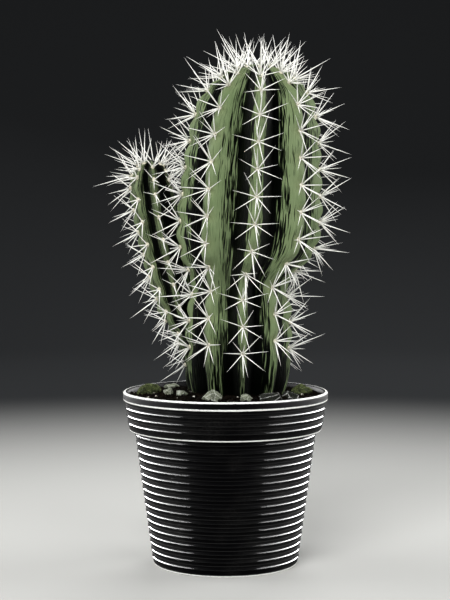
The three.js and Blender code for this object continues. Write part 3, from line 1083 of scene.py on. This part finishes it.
# Painted shade: the skin darkens from crest to groove by each flank's painted shade, broken into dark
# streaks, and near black in the grooves; it also grows darker towards the foot.
shade = reckon("MAXIMUM", (stored(place, "shade") - 0.04) * 1.15, 0)
darkness = shade + fade(part_of(place, "Z"), dark_foot_top, dark_foot_bottom, 0.0, 0.62)
reach = darkness - (streaks * 0.65 + broad_streaks * 0.35)
green = mix(fade(speckle(place, 60, 3), 0.3, 0.7), paint(103, 120, 84), paint(114, 129, 94))
green = mix(stored(place, "notch") * 0.4, green, paint(138, 146, 106))
dark_green = mix(fade(reach, -0.10, 0.0), green, paint(48, 58, 38))
feed(shader, "Base Color", mix(fade(reach, 0.0, 0.12), dark_green, paint(6, 9, 6)))
relief(shader, speckle(place, 2600, 3) + streaks * 1.5, 0.2 * MM)


def guide_mesh(stem):
    """The stem's centre line from foot to crown, one point for each row, with the crests' radius there."""
    walks = np.linspace(stem["walk"][-1], 0, stem["rows"])
    found = np.array([at_walk(stem, walk) for walk in walks])
    return points_mesh(found[:, [2, 3, 1]] * MM, crest=found[:, 0] * MM, walked=walks * MM)


for name, stem, other in (("main", main_stem, side_stem), ("side", side_stem, main_stem)):
    stem["clusters"] = cluster_rows(stem, other)
    spots = [place * MM for row in stem["clusters"] for place, *_ in row]
    marks = show(name + "_clusters", points_mesh(spots))
    flank_mesh = points_mesh([(0, 0, 0)] * len(stem["dusk"]), dusk=stem["dusk"])
    flank_marks = show(name + "_flanks", flank_mesh)
    flesh = grow(
        name + "_stem_flesh",
        stem_tree,
        guide_mesh(stem),
        {
            "Ribs": stem["ribs"],
            "Columns on a rib": stem["columns_on_rib"],
            "First rib": stem["first_rib"],
            "Groove depth": stem["groove_depth"],
            "Crest rounding": 0.25,
            "Notch depth": 1.1 * MM,
            "Notch reach": 4.4 * MM,
            "Swelling": 1.5 * MM,
            "Painted crest shade": stem["painted_crest_shade"],
            "Clusters": marks,
            "Flanks": flank_marks,
            "Skin": skin,
        },
    )
    bpy.data.objects.remove(marks)
    bpy.data.objects.remove(flank_marks)
    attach(flesh, "root")
    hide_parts(name + "_stem")


# ---------------------------------------------------------------- spines
# A row of spine clusters on each rib. Every cluster grows from a pad of cream felt: a ring of stiff
# white spines that spread over the skin, with a few longer ones in the middle that stand straight out.
# At the crowns they are young, crowded and upright.

spine_tree, given = new_tree(
    "spine_clusters",
    Int=("Ring spines", "Middle spines", "Felt hairs", "Seed"),
    Float=("Ring length", "Ring tilt", "Middle length", "Middle tilt", "Thickness", "Young share"),
    Material=("Spine", "Felt"),
)
out = named(spine_tree, "out", "FLOAT_VECTOR")
down = named(spine_tree, "down", "FLOAT_VECTOR")
sideways = reckon("CROSS_PRODUCT", out, down)
age = named(spine_tree, "age")
size = named(spine_tree, "size")


def tapered(sides, segments):
    """A straight pointed shape, one unit long and one in radius at its foot, that knows how far up it is."""
    rod = cone(spine_tree, sides, segments, 1.0, 1.0)
    height = part_of(here(spine_tree), "Z")
    slim = reckon("MAXIMUM", 1 - height**1.8, 0.03)
    pointed = move_to(rod, here(spine_tree) * combine(slim, slim, 1.0))
    return keep(pointed, "reach", height)


def turned(first, second, angle):
    """The direction that turns from one to another by an angle."""
    return first * reckon("COSINE", angle) + second * reckon("SINE", angle)


def spread_out(amount, shape, tilt, tilt_change, length, thickness, young_tilt, seed_shift, finish):
    """So many pointed shapes from every cluster, spread evenly round it at a tilt from straight out."""
    amount = reckon("ROUND", amount * (given["Young share"] + age * (1 - given["Young share"])))
    inputs = {"Geometry": given["Geometry"], "Amount": amount}
    copies = add_node(spine_tree, "GeometryNodeDuplicateElements", inputs, domain="POINT")
    seeds = [given["Seed"] + (seed_shift + k) for k in range(3)]
    turn = Reading(copies.outputs["Duplicate Index"]) * (2 * math.pi) / amount
    turn = turn + random_number(spine_tree, -0.28, 0.28, seeds[0])
    lie = tilt + random_number(spine_tree, -tilt_change, tilt_change, seeds[1])
    lie = lie * (young_tilt + age * (1 - young_tilt))
    way = turned(out, turned(down, sideways, turn), lie)
    reach = length * random_number(spine_tree, 0.8, 1.12, seeds[2])
    scale = combine(thickness, thickness, reach)
    return coat(place_copies(Reading(copies.outputs["Geometry"]), shape, stand_along(way), scale), finish)


hair_length = 2.3 * MM
hair_thickness = 0.09 * MM
pad_size = (1.5 * MM, 1.1 * MM, 0.9 * MM)
needle = tapered(6, 4)
hair = tapered(3, 1)
ring_length = given["Ring length"] * size
middle_length = given["Middle length"] * size
thickness = given["Thickness"]
spine = given["Spine"]
felt = given["Felt"]
# Only the ring's spines stand up on young clusters.
ring = spread_out(
    given["Ring spines"], needle, given["Ring tilt"], 0.16, ring_length, thickness, 0.55, 0, spine
)
middle = spread_out(
    given["Middle spines"], needle, given["Middle tilt"], 0.2, middle_length, thickness * 1.2, 1.0, 10, spine
)
felt_hairs = spread_out(given["Felt hairs"], hair, 1.0, 0.5, hair_length, hair_thickness, 1.0, 20, felt)
ball = read(spine_tree, "GeometryNodeMeshIcoSphere", {"Radius": 1.0, "Subdivisions": 2})
inputs = {"Primary Axis": out, "Secondary Axis": down}
face_out = read(spine_tree, "FunctionNodeAxesToRotation", inputs, primary_axis="Z", secondary_axis="X")
pads = place_copies(given["Geometry"], ball, face_out, pad_size)
pads = coat(crumple(pads, 1400.0, 0.9 * MM), felt)
end_tree(shade_smooth(join(ring, middle, felt_hairs, pads), True))

white_spine, shader, place = new_finish("white_spine", Roughness=0.42)
grain = speckle(place, 1900, 2)
horn = mix(fade(grain, 0.35, 0.7), paint(255, 255, 252), paint(246, 244, 234))
young_foot = fade(stored(place, "reach"), 0.0, 0.1, 0.35, 0.0)
feed(shader, "Base Color", mix(young_foot, horn, paint(214, 204, 168)))
relief(shader, grain, 0.04 * MM)

cream_felt, shader, place = new_finish("cream_felt", Roughness=0.95, Sheen_Weight=0.4)
wool = speckle(place, 2800, 4)
feed(shader, "Base Color", mix(wool, paint(196, 188, 160), paint(240, 236, 220)))
relief(shader, wool, 0.3 * MM)

grown_up_walk = 26
spine_rows = (
    # name, stem, scale, ring spines, middle spines, share of them on young clusters, seed
    ("main", main_stem, 1.0, 7, 2, 0.3, 100),
    ("side", side_stem, 0.9, 5, 1, 0.95, 300),
)
for name, stem, scale, ring_count, middle_count, young_share, seed in spine_rows:
    for rib, row in enumerate(stem["clusters"]):
        full = stem["fullness"][rib]
        spots, out_ways, down_ways, walks = zip(*row)
        ages = [min(walk / grown_up_walk, 1) for walk in walks]
        start_mesh = points_mesh(
            [(spot - 0.5 * out_way) * MM for spot, out_way in zip(spots, out_ways)],
            age=ages,
            size=[scale * (1 - (1 - full) * age) * (1.36 - 0.36 * age) for age in ages],
            out=out_ways,
            down=down_ways,
        )
        clusters = grow(
            f"{name}_spine_row_{rib + 1}",
            spine_tree,
            start_mesh,
            {
                "Ring spines": round(ring_count * full),
                "Ring length": 18 * MM,
                "Ring tilt": math.radians(52),
                "Middle spines": middle_count,
                "Middle length": 21.5 * MM,
                "Middle tilt": math.radians(24),
                "Thickness": 0.33 * MM,
                "Felt hairs": 14,
                "Young share": young_share,
                "Seed": seed + 7 * rib,
                "Spine": white_spine,
                "Felt": cream_felt,
            },
        )
        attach(clusters, "root")
        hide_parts(f"{name}_spines_{rib + 1}")


sizes = {"cad": [list(corner) for corner in cad_box], "visual": [list(corner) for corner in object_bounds()]}
